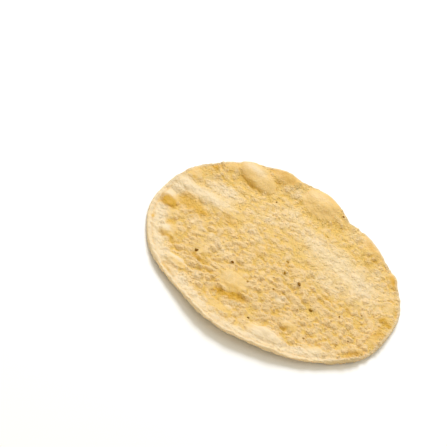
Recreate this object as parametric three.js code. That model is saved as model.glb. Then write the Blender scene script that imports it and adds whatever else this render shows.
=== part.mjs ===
// A fried papadum: one thin, crisp, nearly round wafer that lies flat, the side that shows upwards.
// Its middle is a little domed, a low ring round the middle carries it, its rim turns up, and
// air has puffed it into large blisters along the rim and into a pebbly skin all over.
// Millimetres, +Z up. The lowest point is at z = 0 and the box round the wafer is centred on x = y = 0.

import * as THREE from "three";
import { mergeVertices } from "three/addons/utils/BufferGeometryUtils.js";

// ---- driving dimensions: millimetres, and degrees counted from +X towards +Y ----

const RADIUS = 84.7; // mean radius of the wafer
const SHEET = 1.1; // thickness of the crisp sheet
const NOSE = 0.45; // how far in from the edge the sheet starts to taper to its rounded nose
const GUTTER = 0.74; // radius of the low ring that carries the wafer, as a share of RADIUS
const CROWN = 1.3; // rise of the middle above that ring
const CURL = 3.4; // how far the rim turns up
const CURL_END = 1.04; // where the turned-up rim levels out, as a share of RADIUS
const PRESSED = 0.4; // what would sag lower than this height is pressed flat
const PRESSED_BLEND = 0.3; // height over which the pressed spots run out into the rest
const UNDERSIDE = 0.75; // height of a blister on the underside, as a share of its height on top
const UNDERSIDE_PEBBLES = 0.5; // depth of a pebble on the underside, as a share of its height on top
const RINGS = 30; // rings of triangles from the middle to the edge
const SECTORS = 6; // sectors that each ring is divided into
const SEED = 20; // starts the random draw for the pebbles
const CRUST = { color: 0xeac785, roughness: 0.6, metalness: 0 };

// The outline runs out and in by this much round the wafer.
const OUTLINE_WAVES = [
  { waves: 1, rise: 0.7, peak: 321 },
  { waves: 2, rise: 0.3, peak: 4 },
  { waves: 3, rise: 1.0, peak: 0 },
  { waves: 4, rise: 0.6, peak: 9 },
  { waves: 6, rise: 0.6, peak: 23 },
  { waves: 7, rise: 0.3, peak: 18 },
  { waves: 8, rise: 0.2, peak: 35 },
  { waves: 10, rise: 0.5, peak: 10 },
];

// Short bulges and dents of the outline, each as wide as "width" degrees to each side.
const SCALLOPS = [
  { around: 31, width: 4, rise: 1.5 },
  { around: 56, width: 4, rise: 1.1 },
  { around: 67.5, width: 4, rise: -2.3 },
  { around: 86, width: 9, rise: 1.2 },
  { around: 105, width: 9, rise: 1.8 },
];

// The rim runs up and down by this much, and WARP_POWER keeps it out of the middle.
const WARP_WAVES = [
  { waves: 2, rise: 1.6, peak: 98 },
  { waves: 3, rise: 0.8, peak: 20 },
];
const WARP_POWER = 5;

// Long soft folds of the sheet. "out" is a share of RADIUS, "along" and "across" are half sizes
// along the rim and across it, and "skew" turns them from the rim's direction.
const FOLDS = [
  { name: "ridge", around: 165, out: 0.75, along: 10.5, across: 26, skew: 22, rise: 2.8 },
  { name: "trough beside the ridge", around: 176, out: 0.72, along: 7.5, across: 19, skew: 3, rise: -1.6 },
  { name: "near trough", around: 256, out: 0.62, along: 17, across: 7, skew: 14, rise: -1 },
  { name: "far shelf", around: 53, out: 0.62, along: 18, across: 30, skew: -33, rise: 0.8 },
];
const FOLD_SPREAD = 1.5;

// The large blisters, from the far side round to the left, the near side and the right. "edge" is
// the power that shapes a blister's dome: under 1 it has a steep side, over 1 it runs out softly.
const BLISTERS = [
  { name: "far right", around: 49, out: 0.96, along: 17, across: 9, skew: 3, rise: 2.2, edge: 1.4 },
  { name: "far middle", around: 83, out: 0.88, along: 16, across: 15, skew: 7, rise: 3.8, edge: 1 },
  { name: "far rim", around: 105, out: 0.97, along: 13, across: 9, skew: -7, rise: 2.4, edge: 1.3 },
  { name: "far left", around: 120, out: 0.87, along: 15.5, across: 10, skew: -44, rise: 3.3, edge: 0.5 },
  { name: "far corner", around: 134, out: 0.95, along: 10, across: 5, skew: -6, rise: 1.2, edge: 1.2 },
  { name: "left upper", around: 156, out: 0.93, along: 9, across: 6, skew: -1, rise: 1.6, edge: 1.2 },
  { name: "left end", around: 182, out: 0.89, along: 8.3, across: 6.5, skew: 10, rise: 2.5, edge: 0.8 },
  { name: "left middle", around: 192, out: 0.83, along: 5, across: 6, skew: -12, rise: 1.4, edge: 1 },
  { name: "left low", around: 205, out: 0.83, along: 8.5, across: 6, skew: -5, rise: 1.7, edge: 1 },
  { name: "left inner", around: 218, out: 0.61, along: 5, across: 7, skew: -38, rise: 1.2, edge: 1 },
  { name: "near left", around: 226, out: 0.85, along: 11, across: 6.5, skew: 26, rise: 2, edge: 1.2 },
  { name: "near inner", around: 251, out: 0.51, along: 12, across: 12, skew: 0, rise: 2, edge: 1 },
  { name: "near middle", around: 258, out: 0.82, along: 15, across: 6, skew: 7, rise: 1.2, edge: 1 },
  { name: "near bead", around: 264, out: 0.67, along: 3.5, across: 3.5, skew: 0, rise: 1.1, edge: 1 },
  { name: "near pip", around: 263, out: 0.77, along: 4.5, across: 3.5, skew: 0, rise: 1.1, edge: 1 },
  { name: "right bead", around: 292, out: 0.44, along: 3.5, across: 4.8, skew: -43, rise: 1.2, edge: 1 },
  { name: "near knob", around: 299, out: 0.67, along: 7, across: 5, skew: -12, rise: 1.8, edge: 0.9 },
  { name: "near right", around: 284, out: 0.83, along: 13, across: 7, skew: -3, rise: 3, edge: 0.8 },
  { name: "near corner", around: 309, out: 0.88, along: 12, across: 6, skew: -7, rise: 1.4, edge: 1 },
  { name: "right lower", around: 344, out: 0.94, along: 10, across: 5, skew: 1, rise: 1.2, edge: 1 },
  { name: "right small", around: 1, out: 0.95, along: 5, across: 4, skew: -1, rise: 1.1, edge: 1 },
  { name: "right middle", around: 9, out: 0.94, along: 8, across: 5, skew: 1, rise: 1.6, edge: 1 },
  { name: "right upper", around: 29, out: 1.01, along: 9, across: 6, skew: 1, rise: 2, edge: 1 },
];

// The pebbles of the skin, spread evenly on a golden-angle spiral.
const PEBBLE = { count: 230, leastReach: 4.2, mostReach: 6.2, leastRise: 0.3, mostRise: 0.9, jitter: 2 };
const PEBBLE_OUT = 0.96; // radius out to which the pebbles go, as a share of RADIUS
const GOLDEN_ANGLE = 180 * (3 - Math.sqrt(5));

// ---- small helpers ----

const radians = THREE.MathUtils.degToRad;

// The same even draw between 0 and 1 on every run.
function seededDraw(seed) {
  let state = seed;
  return () => {
    state = (state + 0x6d2b79f5) | 0;
    let mixed = Math.imul(state ^ (state >>> 15), 1 | state);
    mixed = (mixed + Math.imul(mixed ^ (mixed >>> 7), 61 | mixed)) ^ mixed;
    return ((mixed ^ (mixed >>> 14)) >>> 0) / 2 ** 32;
  };
}

// Adds up waves that run round the wafer.
function wavesAt(angle, list) {
  return list.reduce((sum, w) => sum + w.rise * Math.cos(w.waves * (angle - radians(w.peak))), 0);
}

// An oval on the wafer, with its middle and the direction of its long side worked out.
function placedOval(oval) {
  const angle = radians(oval.around);
  const turn = angle + Math.PI / 2 + radians(oval.skew);
  return {
    ...oval,
    x: oval.out * RADIUS * Math.cos(angle),
    y: oval.out * RADIUS * Math.sin(angle),
    cos: Math.cos(turn),
    sin: Math.sin(turn),
  };
}

// The square of the distance from an oval's middle, 1 on the oval itself.
function ovalSquare(oval, x, y) {
  const dx = x - oval.x;
  const dy = y - oval.y;
  const u = (dx * oval.cos + dy * oval.sin) / oval.along;
  const v = (dy * oval.cos - dx * oval.sin) / oval.across;
  return u * u + v * v;
}

// ---- the form of the sheet ----

const folds = FOLDS.map(placedOval);
const blisters = BLISTERS.map(placedOval);

// How far the scallops push the outline out in one direction.
function scallopsAt(angle) {
  return SCALLOPS.reduce((sum, s) => {
    const turn = angle - radians(s.around);
    const apart = Math.atan2(Math.sin(turn), Math.cos(turn)) / radians(s.width);
    return sum + s.rise * Math.exp(-(apart ** 2));
  }, 0);
}

// Radius of the outline in one direction.
function outlineRadius(angle) {
  return RADIUS + wavesAt(angle, OUTLINE_WAVES) + scallopsAt(angle);
}

// Height of the sheet's middle before the lowest spots are pressed flat.
function looseHeight(x, y) {
  const share = Math.hypot(x, y) / RADIUS;
  const angle = Math.atan2(y, x);
  const crown = CROWN * Math.max(0, 1 - (share / GUTTER) ** 2) ** 2;
  const curl = CURL * THREE.MathUtils.smoothstep(share, GUTTER, CURL_END);
  const warp = wavesAt(angle, WARP_WAVES) * share ** WARP_POWER;
  const soft = folds.reduce((sum, f) => sum + f.rise * Math.exp(-FOLD_SPREAD * ovalSquare(f, x, y)), 0);
  return crown + curl + warp + soft;
}

// Height of the sheet's middle as the wafer lies, with flat spots that it rests on.
function restingHeight(x, y) {
  const over = looseHeight(x, y) - PRESSED;
  if (over > PRESSED_BLEND) return PRESSED + over;
  if (over < -PRESSED_BLEND) return PRESSED;
  return PRESSED + (over + PRESSED_BLEND) ** 2 / (4 * PRESSED_BLEND);
}

// Height of the highest blister over one spot.
function blisterHeight(x, y) {
  return blisters.reduce(
    (most, b) => Math.max(most, b.rise * Math.max(0, 1 - ovalSquare(b, x, y)) ** b.edge),
    0,
  );
}

// The pebbles' places and sizes.
function scatterPebbles() {
  const draw = seededDraw(SEED);
  const between = (least, most) => least + (most - least) * draw();
  return Array.from({ length: PEBBLE.count }, (_, i) => {
    const radius = PEBBLE_OUT * RADIUS * Math.sqrt((i + 0.5) / PEBBLE.count);
    const angle = radians(i * GOLDEN_ANGLE);
    return {
      x: radius * Math.cos(angle) + between(-PEBBLE.jitter, PEBBLE.jitter),
      y: radius * Math.sin(angle) + between(-PEBBLE.jitter, PEBBLE.jitter),
      reach: between(PEBBLE.leastReach, PEBBLE.mostReach),
      rise: between(PEBBLE.leastRise, PEBBLE.mostRise),
    };
  });
}

const pebbles = scatterPebbles();

// Height of the pebbly skin over one spot.
function pebbleHeight(x, y) {
  return pebbles.reduce((most, p) => {
    const square = ((x - p.x) ** 2 + (y - p.y) ** 2) / p.reach ** 2;
    return Math.max(most, p.rise * Math.max(0, 1 - square));
  }, 0);
}

// Heights of the two faces of the sheet at one spot. The underside has the pebbles' mirror image,
// and nothing on it hangs lower than the pressed spots.
function faces(x, y) {
  const middle = restingHeight(x, y);
  const blister = blisterHeight(x, y);
  const under = middle - SHEET / 2 + UNDERSIDE * blister - UNDERSIDE_PEBBLES * pebbleHeight(-x, y);
  return {
    top: middle + SHEET / 2 + blister + pebbleHeight(x, y),
    bottom: Math.max(under, PRESSED - SHEET / 2),
  };
}

// ---- the mesh ----

// A six-sided double pyramid, each face cut into RINGS rows of even triangles. Its belt is the rim.
function doublePyramid() {
  const corners = [0, 0, 1, 0, 0, -1];
  const triangles = [];
  for (let i = 0; i < SECTORS; i++) {
    const angle = (2 * Math.PI * i) / SECTORS;
    const here = 2 + i;
    const next = 2 + ((i + 1) % SECTORS);
    corners.push(Math.cos(angle), Math.sin(angle), 0);
    triangles.push(0, here, next, 1, next, here);
  }
  const geometry = new THREE.PolyhedronGeometry(corners, triangles, 1, RINGS - 1);
  geometry.deleteAttribute("normal");
  geometry.deleteAttribute("uv");
  return mergeVertices(geometry);
}

// Which ring a corner of the double pyramid is on, and the angle that it gets on the round wafer.
function ringAndAngle(x, y, z) {
  const half = Math.PI / SECTORS;
  const sector = Math.floor(Math.atan2(y, x) / (2 * half));
  const middle = (2 * sector + 1) * half;
  const local = Math.atan2(y, x) - middle;
  const out = (Math.hypot(x, y) * Math.cos(local)) / Math.cos(half);
  return {
    ring: Math.round((RINGS * out) / (out + Math.abs(z))),
    angle: middle + (half * Math.tan(local)) / Math.tan(half),
  };
}

// Moves each corner of the double pyramid to its place on the wafer.
function waferGeometry() {
  const geometry = doublePyramid();
  const position = geometry.getAttribute("position");
  for (let i = 0; i < position.count; i++) {
    const side = position.getZ(i);
    const { ring, angle } = ringAndAngle(position.getX(i), position.getY(i), side);
    const edge = outlineRadius(angle);
    const atEdge = ring === RINGS;
    const radius = atEdge ? edge : ((edge - NOSE) * ring) / (RINGS - 1);
    const x = radius * Math.cos(angle);
    const y = radius * Math.sin(angle);
    const { top, bottom } = faces(x, y);
    position.setXYZ(i, x, y, atEdge ? (top + bottom) / 2 : side > 0 ? top : bottom);
  }
  geometry.computeBoundingBox();
  const box = geometry.boundingBox;
  geometry.translate(-(box.min.x + box.max.x) / 2, -(box.min.y + box.max.y) / 2, -box.min.z);
  geometry.computeVertexNormals();
  return geometry;
}

function papadum() {
  const mesh = new THREE.Mesh(waferGeometry(), new THREE.MeshStandardMaterial(CRUST));
  mesh.name = "papadum";
  return mesh;
}

const group = new THREE.Group();
group.add(papadum());

export default group;
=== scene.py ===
"""Dresses a fried papadum: one crisp, blistered wafer that lies on a pale floor.

The wafer's two pebbly faces and its rounded edge are one mesh, worked out from the same named
sizes as its solid. Lengths are millimetres, angles degrees counted from +X towards +Y, until a
mesh is written, which is in metres. The near side is towards -Y, where the camera stands.
"""

import logging
import math
import random
from dataclasses import dataclass, field
from enum import Enum
from typing import Any

import bmesh
import bpy
import numpy as np
from mathutils import Matrix, Vector, noise


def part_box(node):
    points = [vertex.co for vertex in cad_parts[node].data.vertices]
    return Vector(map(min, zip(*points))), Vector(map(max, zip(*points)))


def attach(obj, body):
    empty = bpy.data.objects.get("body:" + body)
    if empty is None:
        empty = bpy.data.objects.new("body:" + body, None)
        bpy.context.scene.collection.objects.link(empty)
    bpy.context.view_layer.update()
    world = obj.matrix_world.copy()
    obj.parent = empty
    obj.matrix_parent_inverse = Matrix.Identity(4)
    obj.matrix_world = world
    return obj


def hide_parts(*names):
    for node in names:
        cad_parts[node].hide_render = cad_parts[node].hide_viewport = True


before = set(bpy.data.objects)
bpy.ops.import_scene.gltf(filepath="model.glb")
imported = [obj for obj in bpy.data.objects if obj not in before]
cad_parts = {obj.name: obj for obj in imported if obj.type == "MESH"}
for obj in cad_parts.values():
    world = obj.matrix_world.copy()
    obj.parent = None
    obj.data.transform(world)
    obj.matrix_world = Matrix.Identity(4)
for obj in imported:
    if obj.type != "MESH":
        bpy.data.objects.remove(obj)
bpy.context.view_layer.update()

LOG = logging.getLogger("papadum")
MM = 0.001
IMAGE_SIDE = 447

Span = tuple[float, float]
Colour = tuple[float, float, float, float]
Socket = bpy.types.NodeSocket


def smooth_step(value: np.ndarray, low: float, high: float) -> np.ndarray:
    """Returns a smooth run from 0 where value is low to 1 where it is high, either way round."""
    share = np.clip((value - low) / (high - low), 0.0, 1.0)
    return share * share * (3.0 - 2.0 * share)


class Draw:
    """An even draw between 0 and 1 that is the same on every run, by mixing 32 bits."""

    MASK = 0xFFFFFFFF
    STEP = 0x6D2B79F5

    def __init__(self, seed: int) -> None:
        """Starts the draw at one seed."""
        self.state = seed

    def __call__(self) -> float:
        """Draws the next number.

        Returns:
            A number from 0 to 1.
        """
        self.state = (self.state + self.STEP) & self.MASK
        mixed = ((self.state ^ self.state >> 15) * (1 | self.state)) & self.MASK
        mixed = ((mixed + (mixed ^ mixed >> 7) * (61 | mixed)) & self.MASK) ^ mixed
        return ((mixed ^ mixed >> 14) & self.MASK) / 2**32

    def between(self, least: float, most: float) -> float:
        """Returns the next number, stretched to lie between least and most."""
        return least + (most - least) * self()


@dataclass(frozen=True)
class Wave:
    """A wave that runs round the wafer."""

    waves: int
    rise: float
    peak: float

    def at(self, angle: np.ndarray) -> np.ndarray:
        """Returns the wave's height at each angle, in radians."""
        return self.rise * np.cos(self.waves * (angle - math.radians(self.peak)))


@dataclass(frozen=True)
class Scallop:
    """A short bulge or dent of the outline, as wide as its degrees to each side."""

    around: float
    width: float
    rise: float

    def at(self, angle: np.ndarray) -> np.ndarray:
        """Returns how far the outline bulges at each angle, in radians."""
        apart = (np.degrees(angle) - self.around + 180) % 360 - 180
        return self.rise * np.exp(-((apart / self.width) ** 2))


@dataclass(frozen=True)
class Oval:
    """An oval spot, out a share of the radius, with its half sizes turned to the rim's slant."""

    around: float
    out: float
    along: float
    across: float
    skew: float
    rise: float
    edge: float = 1.0

    def square(self, x: np.ndarray, y: np.ndarray, radius: float) -> np.ndarray:
        """Measures how far spots are from the oval's middle.

        Args:
            x: Places along X.
            y: Places along Y.
            radius: The wafer's mean radius.

        Returns:
            The square of the distance, 1 on the oval itself.
        """
        angle = math.radians(self.around)
        turn = angle + math.pi / 2 + math.radians(self.skew)
        dx = x - self.out * radius * math.cos(angle)
        dy = y - self.out * radius * math.sin(angle)
        u = (dx * math.cos(turn) + dy * math.sin(turn)) / self.along
        v = (dy * math.cos(turn) - dx * math.sin(turn)) / self.across
        return u * u + v * v


@dataclass(frozen=True)
class Sheet:
    """The form of the crisp sheet: its outline and the heights of its two faces.

    Inside the gutter, a share of the radius, the sheet bulges up in a crown. Outside it the rim
    curls up. What would sag lower than pressed lies flat, and the bend there is soft.
    """

    radius: float = 84.7
    thickness: float = 1.1
    gutter: float = 0.74
    crown: float = 1.3
    curl: float = 3.4
    curl_end: float = 1.04
    pressed: float = 0.4
    pressed_blend: float = 0.3
    underside: float = 0.75
    underside_pebbles: float = 0.5
    warp_power: float = 5.0
    fold_spread: float = 1.5
    outline_waves: tuple[Wave, ...] = (
        Wave(1, 0.7, 321), Wave(2, 0.3, 4), Wave(3, 1.0, 0), Wave(4, 0.6, 9), Wave(6, 0.6, 23),
        Wave(7, 0.3, 18), Wave(8, 0.2, 35), Wave(10, 0.5, 10),
    )
    scallops: tuple[Scallop, ...] = (
        Scallop(31, 4, 1.5), Scallop(56, 4, 1.1), Scallop(67.5, 4, -2.3), Scallop(86, 9, 1.2),
        Scallop(105, 9, 1.8),
    )
    warp_waves: tuple[Wave, ...] = (Wave(2, 1.6, 98), Wave(3, 0.8, 20))
    folds: tuple[Oval, ...] = (
        Oval(165, 0.75, 10.5, 26, 22, 2.8),  # ridge
        Oval(176, 0.72, 7.5, 19, 3, -1.6),  # trough beside the ridge
        Oval(256, 0.62, 17, 7, 14, -1),  # near trough
        Oval(53, 0.62, 18, 30, -33, 0.8),  # far shelf
    )
    blisters: tuple[Oval, ...] = (
        Oval(49, 0.96, 17, 9, 3, 2.2, edge=1.4),  # far right
        Oval(83, 0.88, 16, 15, 7, 3.8),  # far middle
        Oval(105, 0.97, 13, 9, -7, 2.4, edge=1.3),  # far rim
        Oval(120, 0.87, 15.5, 10, -44, 3.3, edge=0.5),  # far left
        Oval(134, 0.95, 10, 5, -6, 1.2, edge=1.2),  # far corner
        Oval(156, 0.93, 9, 6, -1, 1.6, edge=1.2),  # left upper
        Oval(182, 0.89, 8.3, 6.5, 10, 2.5, edge=0.8),  # left end
        Oval(192, 0.83, 5, 6, -12, 1.4),  # left middle
        Oval(205, 0.83, 8.5, 6, -5, 1.7),  # left low
        Oval(218, 0.61, 5, 7, -38, 1.2),  # left inner
        Oval(226, 0.85, 11, 6.5, 26, 2.0, edge=1.2),  # near left
        Oval(251, 0.51, 12, 12, 0, 2.0),  # near inner
        Oval(258, 0.82, 15, 6, 7, 1.2),  # near middle
        Oval(264, 0.67, 3.5, 3.5, 0, 1.1),  # near bead
        Oval(263, 0.77, 4.5, 3.5, 0, 1.1),  # near pip
        Oval(292, 0.44, 3.5, 4.8, -43, 1.2),  # right bead
        Oval(299, 0.67, 7, 5, -12, 1.8, edge=0.9),  # near knob
        Oval(284, 0.83, 13, 7, -3, 3, edge=0.8),  # near right
        Oval(309, 0.88, 12, 6, -7, 1.4),  # near corner
        Oval(344, 0.94, 10, 5, 1, 1.2),  # right lower
        Oval(1, 0.95, 5, 4, -1, 1.1),  # right small
        Oval(9, 0.94, 8, 5, 1, 1.6),  # right middle
        Oval(29, 1.01, 9, 6, 1, 2),  # right upper
    )
    pebble_count: int = 230
    pebble_reach: Span = (4.2, 6.2)
    pebble_rise: Span = (0.3, 0.9)
    pebble_jitter: float = 2.0
    pebble_out: float = 0.96
    pebble_seed: int = 20

    def outline(self, angle: np.ndarray) -> np.ndarray:
        """Returns the outline's radius at each angle, in radians."""
        return self.radius + sum(w.at(angle) for w in self.outline_waves + self.scallops)

    def resting(self, x: np.ndarray, y: np.ndarray) -> np.ndarray:
        """Works out the height of the sheet's middle as the wafer lies.

        Args:
            x: Places along X.
            y: Places along Y.

        Returns:
            Heights, with what would sag lowest pressed flat.
        """
        share = np.hypot(x, y) / self.radius
        angle = np.arctan2(y, x)
        crown = self.crown * np.clip(1 - (share / self.gutter) ** 2, 0, None) ** 2
        curl = self.curl * smooth_step(share, self.gutter, self.curl_end)
        warp = sum(w.at(angle) for w in self.warp_waves) * share**self.warp_power
        soft = sum(
            fold.rise * np.exp(-self.fold_spread * fold.square(x, y, self.radius))
            for fold in self.folds
        )
        over = crown + curl + warp + soft - self.pressed
        blend = self.pressed_blend
        bent = np.where(over > -blend, (over + blend) ** 2 / (4 * blend), 0.0)
        return self.pressed + np.where(over > blend, over, bent)

    def blistered(self, x: np.ndarray, y: np.ndarray) -> np.ndarray:
        """Works out the height of the highest large blister over each spot.

        Args:
            x: Places along X.
            y: Places along Y.

        Returns:
            Heights, 0 beside the blisters.
        """
        height = np.zeros_like(x)
        for oval in self.blisters:
            dome = np.clip(1 - oval.square(x, y, self.radius), 0, None) ** oval.edge
            height = np.maximum(height, oval.rise * dome)
        return height

    def pebbled(self, x: np.ndarray, y: np.ndarray) -> np.ndarray:
        """Works out the height of the pebbles, which are spread on a golden-angle spiral.

        Args:
            x: Places along X.
            y: Places along Y.

        Returns:
            Heights, 0 beside the pebbles.
        """
        draw = Draw(self.pebble_seed)
        golden = math.pi * (3 - math.sqrt(5))
        height = np.zeros_like(x)
        for i in range(self.pebble_count):
            out = self.pebble_out * self.radius * math.sqrt((i + 0.5) / self.pebble_count)
            px = out * math.cos(i * golden) + draw.between(-self.pebble_jitter, self.pebble_jitter)
            py = out * math.sin(i * golden) + draw.between(-self.pebble_jitter, self.pebble_jitter)
            reach = draw.between(*self.pebble_reach)
            rise = draw.between(*self.pebble_rise)
            dome = np.clip(1 - ((x - px) ** 2 + (y - py) ** 2) / reach**2, 0, None)
            height = np.maximum(height, rise * dome)
        return height


@dataclass(frozen=True)
class Cobbles:
    """One size of the small round blisters that cover the skin, one in each cell of a grid.

    Each blister's rise and its reach, in cells, are drawn between two values.
    """

    COLUMN_STEP = 12.9898
    ROW_STEP = 78.233
    SEED_STEP = 37.719
    SPREAD = 43758.5453

    cell: float
    rise: Span
    reach: Span
    seed: float
    dome: float = 1.4
    meld: float = 4.0

    def scatter(self, column: np.ndarray, row: np.ndarray, lot: int) -> np.ndarray:
        """Returns an even draw from 0 to 1 for each cell of the grid, another for each lot."""
        place = column * self.COLUMN_STEP + row * self.ROW_STEP
        return np.modf(np.abs(np.sin(place + (self.seed + lot) * self.SEED_STEP)) * self.SPREAD)[0]

    def at(self, x: np.ndarray, y: np.ndarray) -> np.ndarray:
        """Works out the height of the small blisters, which run softly into one another.

        Args:
            x: Places along X.
            y: Places along Y.

        Returns:
            Heights, 0 between the blisters.
        """
        total = np.zeros_like(x)
        column, row = np.floor(x / self.cell), np.floor(y / self.cell)
        for i in (-1, 0, 1):
            for j in (-1, 0, 1):
                right, up, higher, wider = (
                    self.scatter(column + i, row + j, lot) for lot in range(4)
                )
                px = (column + i + right) * self.cell
                py = (row + j + up) * self.cell
                rise = self.rise[0] + (self.rise[1] - self.rise[0]) * higher
                reach = self.cell * (self.reach[0] + (self.reach[1] - self.reach[0]) * wider)
                square = ((x - px) ** 2 + (y - py) ** 2) / reach**2
                total += (rise * np.clip(1 - square, 0, None) ** self.dome) ** self.meld
        return total ** (1 / self.meld)


@dataclass(frozen=True)
class Cloud:
    """A soft cloudy field over the wafer, from about -rise to rise."""

    size: float
    seed: float
    rise: float
    falloff: float = 1.0
    finer: float = 2.0
    layers: int = 3

    def at(self, x: np.ndarray, y: np.ndarray) -> np.ndarray:
        """Samples the field.

        Args:
            x: Places along X.
            y: Places along Y.

        Returns:
            The field at each place.
        """
        spots = (Vector((a, b, self.seed)) for a, b in zip(x / self.size, y / self.size))
        return self.rise * np.array([
            noise.fractal(spot, self.falloff, self.finer, self.layers) for spot in spots
        ])


@dataclass(frozen=True)
class Line:
    """A soft line that follows the wafer's edge, some way in from it."""

    rise: float
    inset: float
    width: float = 1.0

    def at(self, inset: np.ndarray) -> np.ndarray:
        """Returns the line's strength at each distance in from the edge."""
        return self.rise * np.exp(-(((inset - self.inset) / self.width) ** 2))


@dataclass(frozen=True)
class TintPatch:
    """An oval patch of the skin that is darker, from browning and painted shade, paler, from pale
    crust and painted light, or smooth.
    """

    x: float
    y: float
    along: float
    across: float
    turn: float
    toast_and_shade: float = 0.0
    pale: float = 0.0
    smooth: float = 0.0
    fade: Span = (0.1, 1.4)

    def cover(self, x: np.ndarray, y: np.ndarray) -> np.ndarray:
        """Works out how far the patch covers each spot.

        Args:
            x: Places along X.
            y: Places along Y.

        Returns:
            1 in the patch's middle, falling softly to 0 past its edge.
        """
        turn = math.radians(self.turn)
        dx, dy = x - self.x, y - self.y
        u = (dx * math.cos(turn) + dy * math.sin(turn)) / self.along
        v = (dy * math.cos(turn) - dx * math.sin(turn)) / self.across
        return 1 - smooth_step(np.hypot(u, v), *self.fade)


# Darker patches here are partly browned crust and partly painted shade on the near sides of
# blisters, ridges and slopes; paler patches are partly pale crust and partly painted light on
# crests and the blisters' far-facing tops.
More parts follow.
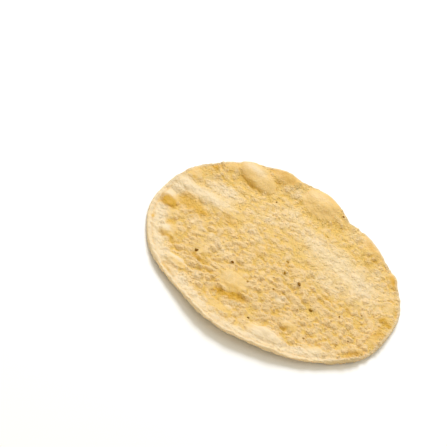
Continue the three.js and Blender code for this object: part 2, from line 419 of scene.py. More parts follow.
TINT_PATCHES = (
    # The left: the blister at the end, the ridge and its trough, the rim. The darker patches on
    # the near sides of the blister and the ridge and in the trough are painted shade, and the pale
    # patch on the blister's top is painted light.
    TintPatch(-73.7, -7.0, 6.5, 4.6, -8, toast_and_shade=1.3),  # near side of the blister at the left end
    TintPatch(-79.5, 1.5, 4.5, 2.5, 0, pale=0.8),
    TintPatch(-62.0, 2.5, 16, 8, -8, toast_and_shade=0.75),  # trough beside the ridge
    TintPatch(-70.5, 28.5, 8, 3, 0, toast_and_shade=0.5),
    TintPatch(-51.8, 0.8, 5, 2.5, 0, toast_and_shade=0.5),
    TintPatch(-36.7, 8.9, 12, 6, -10, toast_and_shade=0.6),
    TintPatch(-42.9, -8.1, 7, 2, 0, toast_and_shade=0.4),
    TintPatch(-66.1, -22.8, 4, 2.5, 0, toast_and_shade=0.7),
    TintPatch(-77.2, -25.9, 3, 3, 0, toast_and_shade=0.5),
    TintPatch(-61.8, -36.0, 8, 2.8, -15, toast_and_shade=0.7),
    TintPatch(-49.9, -35.1, 8, 4, 0, toast_and_shade=0.3),
    TintPatch(-50.0, -60.0, 9, 4, -35, toast_and_shade=0.35),  # near side of the near left blister
    # The near middle: the large speck, the inner swell and what lies around it. The darker patches
    # on the swell's near side are painted shade.
    TintPatch(-38.4, -38.7, 8, 2.4, 10, toast_and_shade=0.8),  # under the large speck
    TintPatch(-30.8, -30.1, 5, 3, 0, toast_and_shade=0.4),
    TintPatch(-27.4, -44.9, 5, 2.5, 0, toast_and_shade=0.7),
    TintPatch(-15.0, -53.0, 11, 2.6, 28, toast_and_shade=1.0),  # near side of the inner swell
    TintPatch(-7.8, -52.3, 9, 5, 20, toast_and_shade=0.9),
    TintPatch(-12.0, -45.5, 8, 2.5, 0, toast_and_shade=0.6),
    TintPatch(-15.1, -61.3, 4, 2.5, 0, toast_and_shade=0.4),
    TintPatch(-12.9, -5.2, 5, 3, 0, toast_and_shade=0.5),
    TintPatch(-7.2, -6.8, 4, 2.5, 0, toast_and_shade=0.5),
    TintPatch(10.3, -28.7, 6, 3, 0, toast_and_shade=0.5),
    # The right: small patches inland and the toasted rim.
    TintPatch(21.8, 48.3, 3, 2, 0, toast_and_shade=0.7),
    TintPatch(21.0, 42.0, 7, 6, 0, toast_and_shade=0.25),
    TintPatch(14.3, 25.5, 6, 3, 0, toast_and_shade=0.5),
    TintPatch(43.0, 47.0, 7, 2.5, -35, toast_and_shade=0.6),
    TintPatch(54.0, 45.0, 7, 2.5, -50, toast_and_shade=0.35),
    TintPatch(54.2, 57.7, 6, 3, -40, toast_and_shade=0.6),
    TintPatch(75.1, 39.7, 7, 3, -60, toast_and_shade=1.0),  # right rim
    TintPatch(58.2, 49.0, 5, 3, 0, toast_and_shade=0.6),
    TintPatch(77.6, 0.9, 4, 3, 0, toast_and_shade=1.0),
    TintPatch(82.2, -2.6, 3, 3, 0, toast_and_shade=1.0),
    TintPatch(77.4, -18.6, 8, 6, 60, toast_and_shade=0.5),
    TintPatch(69.0, -42.3, 11, 3, 50, toast_and_shade=0.6),
    TintPatch(39.9, -7.5, 6, 2, 0, toast_and_shade=0.7),
    TintPatch(54.8, -6.9, 3, 2, 0, toast_and_shade=0.6),
    TintPatch(57.1, -12.4, 2.5, 2, 0, toast_and_shade=0.6),
    TintPatch(26.0, -54.0, 6, 2, 22, toast_and_shade=0.6),
    # The far side: the large bubbles, shaded on their near sides.
    TintPatch(-40.0, 53.8, 11, 3.2, -12, toast_and_shade=0.65),  # near side of the far left bubble
    TintPatch(-20.0, 79.0, 12, 7, 0, toast_and_shade=0.6),  # far rim bubble
    TintPatch(4.0, 78.0, 9, 5, 0, pale=0.4),
    TintPatch(4.0, 66.0, 6, 6, 0, toast_and_shade=0.4),
    TintPatch(20.0, 63.0, 14, 9, 0, toast_and_shade=0.3),  # near side of the far middle bubble
    TintPatch(-56.0, 56.0, 12, 6, 43, pale=0.15),  # far corner
    TintPatch(-63.5, 48.0, 3, 3, 0, toast_and_shade=0.7),
    # Pale crests and smooth areas; the paleness of the crests and of the blisters' far-facing tops
    # is painted light.
    TintPatch(-67.0, -29.5, 7, 2.5, -5, pale=0.9),
    TintPatch(-55.1, -10.2, 7, 4, 0, pale=0.5),
    TintPatch(-41.3, -12.0, 9, 3, 0, pale=0.4),
    TintPatch(-42.0, 67.0, 12, 6, -10, pale=0.8),
    TintPatch(-59.0, 17.5, 27, 9, 6, pale=1.0, smooth=0.75),  # top of the ridge
    TintPatch(-12.0, -35.0, 11, 8, 0, pale=0.1, smooth=0.3),  # top of the inner swell
    TintPatch(39.0, 28.0, 34, 19, -8, pale=0.75, smooth=0.3),
    TintPatch(62.0, 12.0, 18, 16, 0, pale=0.4),
    TintPatch(-20.0, 30.0, 16, 5, 10, pale=0.4),
    TintPatch(-72.0, -20.0, 5, 9, 0, pale=0.3),
    TintPatch(-49.5, -50.5, 10, 2.5, -12, pale=0.9),
    TintPatch(17.0, -67.5, 13, 6, 10, pale=1.0),  # near right blister
    TintPatch(23.0, -48.5, 9, 3, 22, pale=0.7),
    TintPatch(-5.7, -56.0, 3.5, 3, 0, pale=0.5),
    TintPatch(-7.8, -64.0, 4.5, 3, 0, pale=0.5),
    TintPatch(14.8, -32.5, 5, 3, 30, pale=0.8),
    TintPatch(0.0, 41.0, 30, 14, 0, pale=0.4),
    TintPatch(40.0, 64.0, 10, 9, -30, pale=0.4),
    # Broad faint patches all over.
    # The pale patch on the ridge's far side is painted light, where that side faces the key.
    TintPatch(-51.0, 34.0, 19, 9, 5, pale=0.8),  # far side of the ridge
    TintPatch(36.0, 4.0, 17, 9, 0, pale=0.5),
    TintPatch(-20.0, 10.0, 11, 7, 0, pale=0.5),
    TintPatch(-31.0, -20.0, 11, 7, 0, pale=0.5),
    TintPatch(-33.0, -54.0, 9, 8, 0, pale=0.4),
    TintPatch(-19.0, -40.0, 8, 5, 0, pale=0.3),
    TintPatch(-5.0, 52.0, 11, 9, 0, pale=0.35),
    TintPatch(-10.0, 73.0, 8, 7, 0, pale=0.4),
    TintPatch(63.0, 41.0, 8, 7, 0, pale=0.35),
    TintPatch(79.0, -10.0, 4, 7, 0, toast_and_shade=0.6),
    TintPatch(-20.0, -51.0, 5, 5, 0, toast_and_shade=0.3),
    TintPatch(11.0, -1.0, 7, 5, 0, toast_and_shade=0.3),
    TintPatch(20.0, -49.0, 7, 5, 0, toast_and_shade=0.4),
    TintPatch(-68.0, 10.0, 7, 4, 0, toast_and_shade=0.3),
    TintPatch(32.0, -68.0, 9, 5, 10, toast_and_shade=0.3),
)


class Side(Enum):
    """The wafer's two faces, with the sign of the side that each is on."""

    TOP = 1
    UNDER = -1


@dataclass(frozen=True)
class Skin:
    """The fine relief of the wafer's faces, on top of the sheet's form.

    The small blisters have their fullest height on the near half, most of all towards its right,
    and stand low where the skin is bare: on the large blisters, smooth stains and the near rim.
    """

    sheet: Sheet
    tint_patches: tuple[TintPatch, ...] = TINT_PATCHES
    coarse: Cobbles = Cobbles(cell=5.4, rise=(0.5, 1.7), reach=(0.45, 0.8), seed=3.1)
    fine: Cobbles = Cobbles(cell=3.4, rise=(0.3, 1.5), reach=(0.45, 0.8), seed=8.7)
    bend_x: Cloud = Cloud(size=9.0, seed=1.5, rise=1.2)
    bend_y: Cloud = Cloud(size=9.0, seed=7.5, rise=1.2)
    swell: Cloud = Cloud(size=16.0, seed=2.5, rise=0.35)
    level: float = 0.3
    lively: float = 0.7
    lively_cloud: Cloud = Cloud(size=30.0, seed=5.5, rise=0.25)
    lively_near: float = 0.48
    near_half: Span = (-30.0, 35.0)
    lively_corner: float = 0.25
    corner_x: Span = (-20.0, 40.0)
    corner_y: Span = (-10.0, 30.0)
    bare_rise: float = 0.3
    bare_blister: Span = (0.3, 1.4)
    bare_rim: float = 0.62
    bare_rim_share: Span = (0.84, 0.94)
    near_turn: float = 0.5
    near_start: float = 0.1
    near_fade: float = 0.5
    lip_width: float = 1.1
    lip_far: float = 0.2
    lip_cloud: Cloud = Cloud(size=8.0, seed=21.5, rise=0.6)
    lip_bead: Line = Line(rise=0.45, inset=0.8)
    lip_groove: Line = Line(rise=0.3, inset=3.0)

    def share(self, x: np.ndarray, y: np.ndarray) -> np.ndarray:
        """Returns how far out each spot is, 1 on the outline."""
        return np.hypot(x, y) / self.sheet.outline(np.arctan2(y, x))

    def inset(self, x: np.ndarray, y: np.ndarray) -> np.ndarray:
        """Returns how far in from the outline each spot is."""
        return self.sheet.outline(np.arctan2(y, x)) - np.hypot(x, y)

    def near(self, x: np.ndarray, y: np.ndarray, start: float) -> np.ndarray:
        """Returns how far round to the near side spots are, 0 before start, 1 past the fade."""
        towards = -np.sin(np.arctan2(y, x) + self.near_turn)
        return smooth_step(towards, start, start + self.near_fade)

    def bareness(self, x: np.ndarray, y: np.ndarray) -> np.ndarray:
        """Works out how bare of small blisters the skin is.

        Args:
            x: Places along X.
            y: Places along Y.

        Returns:
            0 where small blisters cover it, up to 1 on top of the large ones.
        """
        rim = smooth_step(self.share(x, y), *self.bare_rim_share)
        on_blister = smooth_step(self.sheet.blistered(x, y), *self.bare_blister)
        bare = np.maximum(on_blister, self.bare_rim * self.near(x, y, self.near_start) * rim)
        for tint_patch in self.tint_patches:
            if tint_patch.smooth:
                bare = np.maximum(bare, tint_patch.smooth * tint_patch.cover(x, y))
        return bare

    def lip(self, x: np.ndarray, y: np.ndarray) -> np.ndarray:
        """Works out the height of the rounded lip along the edge, with the groove inside it.

        Args:
            x: Places along X.
            y: Places along Y.

        Returns:
            Heights, below 0 in the groove, and lower on the far side.
        """
        inset = self.inset(x, y) / self.lip_width
        along = self.lip_far + (1 - self.lip_far) * self.near(x, y, self.near_start)
        uneven = along * (1 + self.lip_cloud.at(x, y))
        return uneven * (self.lip_bead.at(inset) - self.lip_groove.at(inset))

    def relief(self, x: np.ndarray, y: np.ndarray, side: Side) -> np.ndarray:
        """Works out the height of the small blisters on one face.

        Args:
            x: Places along X.
            y: Places along Y.
            side: Which face, with the blisters mirrored on the underside.

        Returns:
            Heights, 0 between the blisters.
        """
        mirrored = x * side.value
        near_half = smooth_step(-y, *self.near_half)
        corner = smooth_step(mirrored, *self.corner_x) * smooth_step(-y, *self.corner_y)
        lively = self.lively + self.lively_near * near_half + self.lively_cloud.at(mirrored, y)
        lively += self.lively_corner * corner
        lively *= 1 - (1 - self.bare_rise) * self.bareness(x, y)
        bent_x = mirrored + self.bend_x.at(mirrored, y)
        bent_y = y + self.bend_y.at(mirrored, y)
        return lively * np.maximum(self.coarse.at(bent_x, bent_y), self.fine.at(bent_x, bent_y))

    def height(self, x: np.ndarray, y: np.ndarray, side: Side) -> np.ndarray:
        """Works out the height of one face of the wafer.

        Args:
            x: Places along X.
            y: Places along Y.
            side: Which face.

        Returns:
            Heights over the wafer's own level.
        """
        sheet = self.sheet
        middle = sheet.resting(x, y)
        blister = sheet.blistered(x, y)
        relief = self.relief(x, y, side)
        if side is Side.TOP:
            fine = sheet.pebbled(x, y) + relief + self.swell.at(x, y) + self.lip(x, y)
            return middle + sheet.thickness / 2 + blister + fine - self.level
        fine = sheet.underside_pebbles * sheet.pebbled(-x, y) + relief
        under = middle - sheet.thickness / 2 + sheet.underside * blister - fine + self.level
        return np.maximum(under, sheet.pressed - sheet.thickness / 2)


@dataclass(frozen=True)
class BrowningAndPaintedLight:
    """How far frying has browned and dried the crust and where it stays pale, with painted shade
    and painted light laid in among them.

    The far rim is browned and dry, and its orange is partly painted shade on the curl's inner
    side. The near rim is pale, partly from painted light, with a paler lip that is a painted
    highlight and a darker groove that is painted shade; the edge all round is darker, partly with
    painted shade.
    """

    skin: Skin
    bend_x: Cloud = Cloud(size=7.0, seed=11.5, rise=2.0)
    bend_y: Cloud = Cloud(size=7.0, seed=17.5, rise=2.0)
    patches: Cloud = Cloud(size=14.0, seed=31.5, rise=0.5)
    near_start: float = 0.0
    # The near rim's paleness is partly painted light where its curl faces the key; the lip's
    # paleness is a painted highlight.
    pale_rim: float = 1.0
    pale_rim_share: Span = (0.82, 0.93)
    pale_lip: Line = Line(rise=0.5, inset=1.2)
    # The far rim's darkening is partly painted shade on the curl's inner side; the groove's is
    # painted shade; the edge's is partly painted shade.
    far_rim_toast_and_shade: float = 0.1
    far_rim_toast_and_shade_share: Span = (0.88, 1.0)
    groove_shade: Line = Line(rise=0.35, inset=3.4)
    edge_toast_and_shade: float = 0.3
    edge_toast_and_shade_inset: Span = (0.35, 0.05)
    dry_inset: Span = (2.6, 0.8)
    blister_relief: float = 0.6
    most_relief: float = 1.2
    most_toast_and_shade: float = 1.2

    def toasted_and_shaded(self, x: np.ndarray, y: np.ndarray, near: np.ndarray) -> np.ndarray:
        """Works out how far the rim is browned, with the painted shade on the far rim, in the
        groove and along the edge.

        Args:
            x: Places along X.
            y: Places along Y.
            near: How far round to the near side each spot is.

        Returns:
            About 0 to 1, and a little below 0 where the rim is paler than the rest.
        """
        inset = self.skin.inset(x, y)
        far_rim = (1 - near) * smooth_step(self.skin.share(x, y), *self.far_rim_toast_and_shade_share)
        toast_and_shade = (self.far_rim_toast_and_shade + self.patches.at(x, y)) * far_rim
        toast_and_shade += near * self.groove_shade.at(inset)
        return toast_and_shade + self.edge_toast_and_shade * smooth_step(inset, *self.edge_toast_and_shade_inset)

    def paled(self, x: np.ndarray, y: np.ndarray, near: np.ndarray) -> np.ndarray:
        """Works out how pale the near rim is, with painted light on it and a painted highlight on
        the lip.

        Args:
            x: Places along X.
            y: Places along Y.
            near: How far round to the near side each spot is.

        Returns:
            0 inland, and about 1 on the near rim.
        """
        near_rim = near * smooth_step(self.skin.share(x, y), *self.pale_rim_share)
        pale = (self.pale_rim + self.patches.at(x, y)) * near_rim
        return pale + near * self.pale_lip.at(self.skin.inset(x, y))

    def tints(self, x: np.ndarray, y: np.ndarray, relief: np.ndarray) -> dict[str, np.ndarray]:
        """Works out the fields that colour the crust, painted shade and painted light among them.

        Args:
            x: Places along X.
            y: Places along Y.
            relief: Height of the small blisters.

        Returns:
            Name of each field to its values.
        """
        near = self.skin.near(x, y, self.near_start)
        bare = self.skin.bareness(x, y)
        bent = x + self.bend_x.at(x, y), y + self.bend_y.at(x, y)
        covers = [(tint_patch, tint_patch.cover(*bent)) for tint_patch in self.skin.tint_patches]
        toast_and_shade = sum(tint_patch.toast_and_shade * cover for tint_patch, cover in covers) + self.toasted_and_shaded(x, y, near)
        pale = sum(tint_patch.pale * cover for tint_patch, cover in covers) + self.paled(x, y, near)
        # The toast field carries painted shade and the pale field painted light, besides the
        # crust's own colour.
        return {
            "relief": np.clip(np.maximum(relief, self.blister_relief * bare), 0, self.most_relief),
            "bare": bare,
            "toast_and_shade": np.clip(toast_and_shade, 0, self.most_toast_and_shade),
            "pale": np.clip(pale, 0, 1),
            "dry": (1 - near) * smooth_step(self.skin.inset(x, y), *self.dry_inset),
        }


@dataclass(frozen=True)
class Mottle:
    """A cloudy pattern in a material: how fine it is, in clouds a metre, and how many layers."""

    scale: float
    detail: float


class NodeBoard:
    """Lays out the nodes of one material."""

    MOTTLE_ROUGHNESS = 0.55
    MIX_SHARE, MIX_FIRST, MIX_SECOND, MIX_RESULT = 0, 6, 7, 2

    def __init__(self, name: str) -> None:
        """Starts a material with its shader and output.

        Args:
            name: The material's name.
        """
        self.material = bpy.data.materials.new(name)
        self.material.use_nodes = True
        self.tree = self.material.node_tree
        self.shader = self.tree.nodes["Principled BSDF"]

    def add(
        self, kind: str, inputs: dict[Any, Any] | None = None, **settings: Any
    ) -> bpy.types.Node:
        """Adds one node.

        Args:
            kind: The node's type name.
            inputs: Socket name or number to a value, or to the output that feeds it.
            **settings: The node's own settings.

        Returns:
            The node.
        """
        node = self.tree.nodes.new(kind)
        for name, value in settings.items():
            setattr(node, name, value)
        self.feed(node, inputs or {})
        return node

    def feed(self, node: bpy.types.Node, inputs: dict[Any, Any]) -> None:
        """Gives a node's sockets their values or links.

        Args:
            node: The node.
            inputs: Socket name or number to a value, or to the output that feeds it.
        """
        for name, value in inputs.items():
            if isinstance(value, Socket):
                self.tree.links.new(value, node.inputs[name])
            else:
                node.inputs[name].default_value = value

    def place(self) -> Socket:
        """Returns the place on the piece, in metres."""
        return self.add("ShaderNodeTexCoord").outputs["Object"]

    def attribute(self, name: str) -> Socket:
        """Returns the output that reads a mesh's own attribute."""
        return self.add("ShaderNodeAttribute", attribute_name=name).outputs["Fac"]

    def math(self, operation: str, *values: Any) -> Socket:
        """Returns the result of a sum, product or other operation on values."""
        return self.add("ShaderNodeMath", dict(enumerate(values)), operation=operation).outputs[0]

    def between(self, share: Socket, least: float, most: float) -> Socket:
        """Returns least where the share is 0 and most where it is 1."""
        return self.math("MULTIPLY_ADD", share, most - least, least)

    def ramp(self, value: Socket, span: Span) -> Socket:
        """Returns value stretched smoothly so that the span runs from 0 to 1."""
        inputs = {"Value": value, "From Min": span[0], "From Max": span[1]}
        return self.add("ShaderNodeMapRange", inputs, interpolation_type="SMOOTHSTEP").outputs[0]

    def mix(self, share: Socket, first: Any, second: Any) -> Socket:
        """Mixes two colours.

        Args:
            share: How far to turn from the first colour to the second.
            first: The first colour, or the output that gives it.
            second: The second colour, or the output that gives it.

        Returns:
            The mixed colour.
        """
        node = self.add("ShaderNodeMix", data_type="RGBA")
        self.feed(node, {self.MIX_SHARE: share, self.MIX_FIRST: first, self.MIX_SECOND: second})
        return node.outputs[self.MIX_RESULT]

    def noise(self, place: Socket, mottle: Mottle) -> Socket:
        """Makes a cloudy value.

        Args:
            place: The place on the piece.
            mottle: The pattern.

        Returns:
            A value from 0 to 1.
        """
        return self.add("ShaderNodeTexNoise", {
            "Vector": place,
            "Scale": mottle.scale,
            "Detail": mottle.detail,
            "Roughness": self.MOTTLE_ROUGHNESS,
        }).outputs["Fac"]

    def bend(self, place: Socket, mottle: Mottle, reach: float) -> Socket:
        """Shifts a place about by a cloudy pattern.

        Args:
            place: The place on the piece.
            mottle: The pattern.
            reach: How far the pattern's full strength shifts the place, in metres.

        Returns:
            The shifted place.
        """
        inputs = {"Vector": place, "Scale": mottle.scale, "Detail": mottle.detail}
        wobble = self.add("ShaderNodeTexNoise", inputs).outputs["Color"]
        inputs = {0: wobble, "Scale": reach}
        shift = self.add("ShaderNodeVectorMath", inputs, operation="SCALE")
        inputs = {0: place, 1: shift.outputs[0]}
        return self.add("ShaderNodeVectorMath", inputs, operation="ADD").outputs[0]


@dataclass(frozen=True)
class CrispFinish:
    """The golden fried crust: paler on the blisters' tops, partly a painted highlight, deeper in
    creases, partly painted shade, and deeper where browned and where shade is painted.

    Its domes are the smallest blisters, too fine for the mesh.
    """

    # The top colour is pale crust and a painted highlight in place of sheen; the crease colour is
    # deeper crust and painted shade in the hollows.
    top: Colour = (0.782, 0.558, 0.265, 1.0)
    crease_and_shade: Colour = (0.747, 0.493, 0.128, 1.0)
    # The toasted colour also paints the shade on the near sides of blisters; the pale colour also
    # paints light on crests and the near rim.
    toasted_and_shaded: Colour = (0.65, 0.37, 0.043, 1.0)
    pale: Colour = (0.82, 0.685, 0.475, 1.0)
    rim: Colour = (0.69, 0.56, 0.36, 1.0)
    crease_and_shade_span: Span = (0.0, 1.2)
    pale_span: Span = (0.2, 1.3)
    pale_most: float = 0.8
    toast_and_shade_span: Span = (0.3, 1.4)
    dry_most: float = 0.8
    toast_clouds: Mottle = Mottle(55.0, 4.0)
    toast_cloud_share: float = 0.6
    pale_clouds: Mottle = Mottle(95.0, 3.0)
    pale_cloud_share: float = 0.5
    wobble: Mottle = Mottle(260.0, 1.0)
    wobble_reach: float = 0.0016
    dome_scales: tuple[float, float] = (480.0, 720.0)
    dome_melt: float = 0.35
    dome_reach: Span = (0.35, 0.7)
    dome_rise: Span = (0.4, 1.0)
    dome_power: float = 1.5
    dome_relief: float = 0.3
    crumb: Mottle = Mottle(900.0, 3.0)
    crumb_rise: float = 0.15
    bump: float = 0.00065
    bare_calm: float = 0.65
    roughness: float = 0.5
    specular: float = 0.1
    translucency: float = 0.5
    depth: float = 0.002
    depth_shares: tuple[float, float, float] = (1.0, 0.7, 0.3)

    def domes(self, board: NodeBoard, place: Socket, scale: float) -> Socket:
        """Covers the skin with round blisters of mixed sizes.

        Args:
            board: The material's nodes.
            place: The place on the piece.
            scale: How many blisters a metre.

        Returns:
            0 between the blisters and up to 1 on them.
        """
        inputs = {"Vector": place, "Scale": scale, "Smoothness": self.dome_melt}
        cells = board.add("ShaderNodeTexVoronoi", inputs, feature="SMOOTH_F1")
        lots = board.add("ShaderNodeSeparateColor", {0: cells.outputs["Color"]}).outputs
        reach = board.between(lots[0], *self.dome_reach)
        share = board.math("DIVIDE", cells.outputs["Distance"], reach)
        dome = board.math("SUBTRACT", 1.0, board.math("MULTIPLY", share, share))
        dome = board.math("POWER", board.math("MAXIMUM", dome, 0.0), self.dome_power)
        return board.math("MULTIPLY", dome, board.between(lots[1], *self.dome_rise))

    def colour(self, board: NodeBoard, place: Socket, bumps: Socket) -> Socket:
        """Colours the crust by its relief, its browning and soft clouds; the relief and browning
        fields carry painted shade and painted light too.

        Args:
            board: The material's nodes.
            place: The place on the piece.
            bumps: The smallest blisters.

        Returns:
            The crust's colour.
        """
        clouds = board.noise(place, self.toast_clouds)
        mottle = board.noise(place, self.pale_clouds)
        relief = board.math("MULTIPLY_ADD", bumps, self.dome_relief, board.attribute("relief"))
        toast_and_shade = board.attribute("toast_and_shade")
        toast_and_shade = board.math("MULTIPLY_ADD", clouds, self.toast_cloud_share, toast_and_shade)
        pale = board.math("MULTIPLY_ADD", mottle, self.pale_cloud_share, board.attribute("pale"))
        pale = board.math("MULTIPLY", board.ramp(pale, self.pale_span), self.pale_most)
        dry = board.math("MULTIPLY", board.attribute("dry"), self.dry_most)
        # Low relief gives the crease colour, painted shade, and high relief the top colour, a
        # painted highlight.
        body = board.mix(board.ramp(relief, self.crease_and_shade_span), self.crease_and_shade, self.top)
        body = board.mix(pale, body, self.pale)
        body = board.mix(board.ramp(toast_and_shade, self.toast_and_shade_span), body, self.toasted_and_shaded)
        return board.mix(dry, body, self.rim)

    def material(self) -> bpy.types.Material:
        """Builds the crust's material.

        Returns:
            The material.
        """
        board = NodeBoard("crisp_dough")
        place = board.place()
        bent = board.bend(place, self.wobble, self.wobble_reach)
        bumps = board.math(
            "MAXIMUM", *(self.domes(board, bent, scale) for scale in self.dome_scales)
        )
        crumb = board.noise(place, self.crumb)
        bump = board.add("ShaderNodeBump", {
            "Strength": board.between(board.attribute("bare"), 1.0, 1.0 - self.bare_calm),
            "Distance": self.bump,
            "Height": board.math("MULTIPLY_ADD", crumb, self.crumb_rise, bumps),
        })
        board.shader.subsurface_method = "BURLEY"
        board.feed(board.shader, {
            "Base Color": self.colour(board, place, bumps),
            "Roughness": self.roughness,
            "Normal": bump.outputs["Normal"],
            "Specular IOR Level": self.specular,
            "Subsurface Weight": self.translucency,
            "Subsurface Radius": self.depth_shares,
            "Subsurface Scale": self.depth,
        })
        return board.material


@dataclass(frozen=True)
class SpeckFinish:
    """Dark baked-in spice, browner where its attribute says."""

    dark: Colour = (0.20, 0.085, 0.004, 1.0)
    brown: Colour = (0.48, 0.27, 0.045, 1.0)
    mottle: Mottle = Mottle(1500.0, 2.0)
    unevenness: float = 0.3
    roughness: float = 0.85
    specular: float = 0.15

    def material(self) -> bpy.types.Material:
        """Builds the specks' material.

        Returns:
            The material.
        """
        board = NodeBoard("spice")
        mottle = board.noise(board.place(), self.mottle)
        brown = board.attribute("brownness")
        share = board.math("MULTIPLY_ADD", mottle, self.unevenness, brown)
        share = board.math("SUBTRACT", share, self.unevenness / 2)
        board.feed(board.shader, {
            "Base Color": board.mix(share, self.dark, self.brown),
            "Roughness": self.roughness,
            "Specular IOR Level": self.specular,
        })
        return board.material


def make_piece(
    name: str, mesh: bpy.types.Mesh, material: bpy.types.Material
) -> bpy.types.Object:
    """Makes a smooth-shaded piece of the papadum that rides on its body.

    Args:
        name: The piece's name.
        mesh: Its final mesh, in metres.
        material: Its material.

    Returns:
        The piece's object.
    """
    mesh.materials.append(material)
    mesh.shade_smooth()
    piece = bpy.data.objects.new(name, mesh)
    bpy.context.scene.collection.objects.link(piece)
    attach(piece, "root")
    LOG.info("%s: %d triangles", name, sum(len(p.vertices) - 2 for p in mesh.polygons))
    return piece


@dataclass
class Wafer:
    """The wafer: two pebbly faces and a rounded edge in one closed mesh.

    It is shaped from a flat slab one unit thick, whose top is at 1 and whose underside is at 0.
    """

    skin: Skin
    browning_and_painted_light: BrowningAndPaintedLight
    finish: CrispFinish
    sectors: int = 6
    first_cuts: int = 30
    second_cuts: int = 3
    edge_cuts: int = 3
    nose: float = 0.45
    touch: float = 0.001
    shift: Vector = field(default_factory=Vector)

    def blank(self) -> bmesh.types.BMesh:
        """Makes the six-sided slab of even triangles.

        Returns:
            The slab.
        """
        slab = bmesh.new()
        bmesh.ops.create_circle(
            slab, cap_ends=True, cap_tris=True, segments=self.sectors, radius=1.0
        )
        for cuts in (self.first_cuts, self.second_cuts):
            bmesh.ops.subdivide_edges(slab, edges=slab.edges[:], cuts=cuts, use_grid_fill=True)
        raised = bmesh.ops.extrude_face_region(slab, geom=slab.faces[:])["geom"]
        lifted = [v for v in raised if isinstance(v, bmesh.types.BMVert)]
        bmesh.ops.translate(slab, verts=lifted, vec=(0, 0, 1))
        upright = [e for e in slab.edges if e.verts[0].co.z != e.verts[1].co.z]
        bmesh.ops.subdivide_edges(slab, edges=upright, cuts=self.edge_cuts, use_grid_fill=True)
        bmesh.ops.triangulate(slab, faces=[f for f in slab.faces if len(f.verts) > 3])
        bmesh.ops.recalc_face_normals(slab, faces=slab.faces[:])
        return slab

    def rounded(self, places: np.ndarray) -> tuple[np.ndarray, np.ndarray]:
        """Turns places on the six-sided slab into a share of the radius and an angle.

        Args:
            places: The slab's vertices.

        Returns:
            Shares from 0 to 1, and angles in radians.
        """
        half = math.pi / self.sectors
        raw = np.arctan2(places[:, 0], places[:, 1])
        local = (raw % (2 * half)) - half
        share = np.hypot(places[:, 0], places[:, 1]) * np.cos(local) / math.cos(half)
        angle = raw - local + half * np.tan(local) / math.tan(half)
        return share, angle

    def shape(self, places: np.ndarray) -> tuple[np.ndarray, dict[str, np.ndarray]]:
        """Moves the slab's vertices to their places on the wafer.

        Args:
            places: The slab's vertices.

        Returns:
            The places on the wafer, and the fields that colour it.
        """
        share, angle = self.rounded(places)
        out = share * (self.skin.sheet.outline(angle) - self.nose)
        x, y = out * np.cos(angle), out * np.sin(angle)
        z, relief = np.zeros(len(x)), np.zeros(len(x))
        is_top = places[:, 2] > 1 - self.touch
        is_under = places[:, 2] < self.touch
        for side, chosen in ((Side.TOP, is_top), (Side.UNDER, is_under)):
            z[chosen] = self.skin.height(x[chosen], y[chosen], side)
            relief[chosen] = self.skin.relief(x[chosen], y[chosen], side)
        wall = ~(is_top | is_under)
        top = self.skin.height(x[wall], y[wall], Side.TOP)
        under = self.skin.height(x[wall], y[wall], Side.UNDER)
        turn = math.pi * (places[wall, 2] - 0.5)
        reach = out[wall] + self.nose * np.cos(turn)
        x[wall], y[wall] = reach * np.cos(angle[wall]), reach * np.sin(angle[wall])
        z[wall] = (top + under) / 2 + (top - under) / 2 * np.sin(turn)
        return np.stack([x, y, z], 1), self.browning_and_painted_light.tints(x, y, relief)

    def build(self) -> bpy.types.Object:
        """Models the wafer, stands it in the solid's box and dresses it.

        Returns:
            The wafer's object, which replaces the plain solid.
        """
        slab = self.blank()
        mesh = bpy.data.meshes.new("papadum_crust")
        slab.to_mesh(mesh)
        slab.free()
        places = np.empty(len(mesh.vertices) * 3, np.float32)
        mesh.vertices.foreach_get("co", places)
        wafer, tints = self.shape(places.reshape(-1, 3).astype(float))
        low, high = (np.array(corner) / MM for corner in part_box("papadum"))
        centring = (low + high) / 2 - (wafer.min(0) + wafer.max(0)) / 2
        lowering = low - wafer.min(0)
        self.shift = Vector((centring[0], centring[1], lowering[2]))
        wafer += np.array(self.shift)
        mesh.vertices.foreach_set("co", (wafer * MM).astype(np.float32).ravel())
        mesh.update()
        for name, values in tints.items():
            layer = mesh.attributes.new(name, "FLOAT", "POINT")
            layer.data.foreach_set("value", values.astype(np.float32))
        piece = make_piece("papadum_crust", mesh, self.finish.material())
        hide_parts("papadum")
        return piece


@dataclass(frozen=True)
class Speck:
    """One grain of spice: its place on the wafer, its length and how brown it is, 0 for dark."""

    x: float
    y: float
    long: float
    brown: float = 0.0


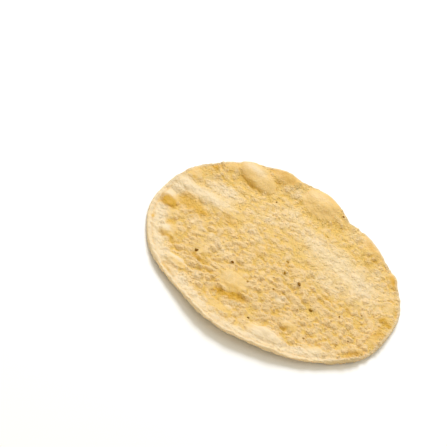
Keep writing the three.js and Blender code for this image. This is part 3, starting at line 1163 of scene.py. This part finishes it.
@dataclass
class Spice:
    """The dark specks of spice that are baked into the upper face."""

    wafer: Wafer
    finish: SpeckFinish
    specks: tuple[Speck, ...] = (
        Speck(-42.9, -33.0, 3.1),
        Speck(-20.5, -26.5, 2.1),
        Speck(21.3, -11.8, 3.2, 0.3),
        Speck(35.2, -25.5, 2.6, 0.3),
        Speck(4.9, -61.6, 2.0),
        Speck(-17.8, 53.0, 1.5, 0.3),
        Speck(26.0, 75.8, 1.8, 0.2),
        Speck(52.5, -17.1, 1.3),
        Speck(63.4, -33.5, 1.0),
        Speck(64.8, -4.5, 1.3, 0.5),
        Speck(74.7, -11.8, 1.2, 0.3),
        Speck(23.1, 49.3, 1.3, 0.6),
        Speck(-6.4, -35.0, 1.8, 0.7),
        Speck(10.2, -8.5, 2.6, 1.1),
        Speck(8.3, 2.7, 2.4, 1.1),
        Speck(38.8, -52.4, 1.8, 0.7),
        Speck(27.8, -33.2, 1.2, 0.9),
        Speck(35.8, -34.5, 1.1, 1.0),
        Speck(48.8, -26.3, 1.3, 0.9),
        Speck(9.3, -27.9, 1.5, 1.1),
        Speck(57.7, -43.3, 1.2, 1.0),
    )
    width_share: float = 0.75
    height_share: float = 0.4
    stand: float = 0.05
    rough: float = 0.35
    rough_scale: float = 1.7
    seed: int = 7

    def build(self) -> bpy.types.Object:
        """Models every speck in one mesh, each a rough grain sunk into the skin.

        Returns:
            The specks' object.
        """
        draw = random.Random(self.seed)
        grains = bmesh.new()
        layer = grains.verts.layers.float.new("brownness")
        x = np.array([s.x for s in self.specks])
        y = np.array([s.y for s in self.specks])
        z = self.wafer.skin.height(x, y, Side.TOP)
        for speck, height in zip(self.specks, z):
            size = speck.long / 2
            made = bmesh.ops.create_icosphere(grains, subdivisions=2, radius=size)["verts"]
            seat = Vector((speck.x, speck.y, 0))
            for vert in made:
                bulge = 1 + self.rough * noise.noise(vert.co * self.rough_scale + seat)
                flat = vert.co * Vector((1, self.width_share, self.height_share))
                vert.co = flat * bulge
                vert[layer] = speck.brown
            turn = Matrix.Rotation(draw.uniform(0, math.pi), 4, "Z")
            place = Vector((speck.x, speck.y, height + self.stand)) + self.wafer.shift
            bmesh.ops.transform(grains, verts=made, matrix=Matrix.Translation(place) @ turn)
        bmesh.ops.scale(grains, verts=grains.verts[:], vec=(MM, MM, MM))
        mesh = bpy.data.meshes.new("spice_specks")
        grains.to_mesh(mesh)
        grains.free()
        return make_piece("spice_specks", mesh, self.finish.material())


@dataclass
class Studio:
    """The plain pale floor, the soft light from the far side and the room's warm even light."""

    floor_side: float = 6.0
    floor_low: Colour = (0.995, 0.993, 0.99, 1.0)
    floor_high: Colour = (1.0, 1.0, 1.0, 1.0)
    floor_mottle: Mottle = Mottle(8.0, 2.0)
    floor_span: Span = (-1.0, 2.0)
    floor_roughness: float = 0.9
    floor_specular: float = 0.1
    room_strength: float = 0.67
    room_colour: Colour = (1.0, 0.93, 0.77, 1.0)
    key_azimuth: float = 104.0
    key_elevation: float = 46.0
    key_distance: float = 1.5
    key_size: float = 0.83
    key_power: float = 20.1
    key_colour: tuple[float, float, float] = (0.87, 0.91, 1.0)

    def build(self) -> None:
        """Makes the floor, the key light and the room's even light."""
        self.lay_floor()
        self.hang_key()
        self.light_room()

    def lay_floor(self) -> None:
        """Lays the floor that the wafer rests on."""
        grid = bmesh.new()
        bmesh.ops.create_grid(grid, x_segments=1, y_segments=1, size=self.floor_side / 2)
        mesh = bpy.data.meshes.new("floor")
        grid.to_mesh(mesh)
        grid.free()
        board = NodeBoard("floor_paint")
        shade = board.ramp(board.noise(board.place(), self.floor_mottle), self.floor_span)
        board.feed(board.shader, {
            "Base Color": board.mix(shade, self.floor_low, self.floor_high),
            "Roughness": self.floor_roughness,
            "Specular IOR Level": self.floor_specular,
        })
        mesh.materials.append(board.material)
        floor = bpy.data.objects.new("floor", mesh)
        bpy.context.scene.collection.objects.link(floor)

    def hang_key(self) -> None:
        """Hangs the soft key light, aimed at the wafer."""
        light = bpy.data.lights.new("key", "AREA")
        light.shape = "DISK"
        light.size = self.key_size
        light.energy = self.key_power
        light.color = self.key_colour
        azimuth, elevation = math.radians(self.key_azimuth), math.radians(self.key_elevation)
        away = Vector((
            math.cos(elevation) * math.cos(azimuth),
            math.cos(elevation) * math.sin(azimuth),
            math.sin(elevation),
        ))
        lamp = bpy.data.objects.new("key", light)
        lamp.location = away * self.key_distance
        lamp.rotation_euler = away.to_track_quat("Z", "Y").to_euler()
        bpy.context.scene.collection.objects.link(lamp)

    def light_room(self) -> None:
        """Fills the room with even warm light, and shows colours as they are."""
        world = bpy.data.worlds.new("room")
        world.use_nodes = True
        background = world.node_tree.nodes["Background"]
        background.inputs["Color"].default_value = self.room_colour
        background.inputs["Strength"].default_value = self.room_strength
        bpy.context.scene.world = world
        bpy.context.scene.view_settings.view_transform = "Standard"
        bpy.context.scene.view_settings.look = "None"


@dataclass(frozen=True)
class PhotoCamera:
    """The camera at the photograph's angle to the wafer, rolled as in the photograph."""

    elevation: float = 37.9
    roll: float = 31.0
    lens: float = 90.0
    sensor: float = 36.0
    nearest: float = 0.01
    middle_px: tuple[float, float] = (273.4, 259.5)
    radius_px: float = 135.0

    def build(self, target: Vector, radius: float) -> bpy.types.Object:
        """Places the camera.

        Args:
            target: The wafer's middle.
            radius: The wafer's radius, which radius_px spans in the photograph.

        Returns:
            The camera's object.
        """
        focal_px = self.lens / self.sensor * IMAGE_SIDE
        tilt, roll = math.radians(self.elevation), math.radians(self.roll)
        ahead = Vector((0, math.cos(tilt), -math.sin(tilt)))
        level = Vector((1, 0, 0))
        upright = level.cross(ahead)
        right = math.cos(roll) * level + math.sin(roll) * upright
        turn = Matrix((right, right.cross(ahead), -ahead)).transposed()
        off_x = self.middle_px[0] - IMAGE_SIDE / 2
        off_y = self.middle_px[1] - IMAGE_SIDE / 2
        seen = Vector((off_x, -off_y, -focal_px))
        aim = Vector((0, 0, -1)).rotation_difference(seen).to_matrix()
        camera = bpy.data.cameras.new("camera")
        camera.lens = self.lens
        camera.sensor_width = self.sensor
        camera.clip_start = self.nearest
        holder = bpy.data.objects.new("camera", camera)
        place = target - ahead * radius * focal_px / self.radius_px
        holder.matrix_world = Matrix.Translation(place) @ (turn @ aim.transposed()).to_4x4()
        bpy.context.scene.collection.objects.link(holder)
        bpy.context.scene.camera = holder
        return holder


def main() -> None:
    """Builds the wafer, its spice, the studio and the camera."""
    logging.basicConfig(level=logging.INFO, format="%(name)s: %(message)s")
    skin = Skin(Sheet())
    wafer = Wafer(skin, BrowningAndPaintedLight(skin), CrispFinish())
    wafer.build()
    Spice(wafer, SpeckFinish()).build()
    Studio().build()
    PhotoCamera().build(wafer.shift * MM, skin.sheet.radius * MM)


if __name__ == "__main__":
    main()
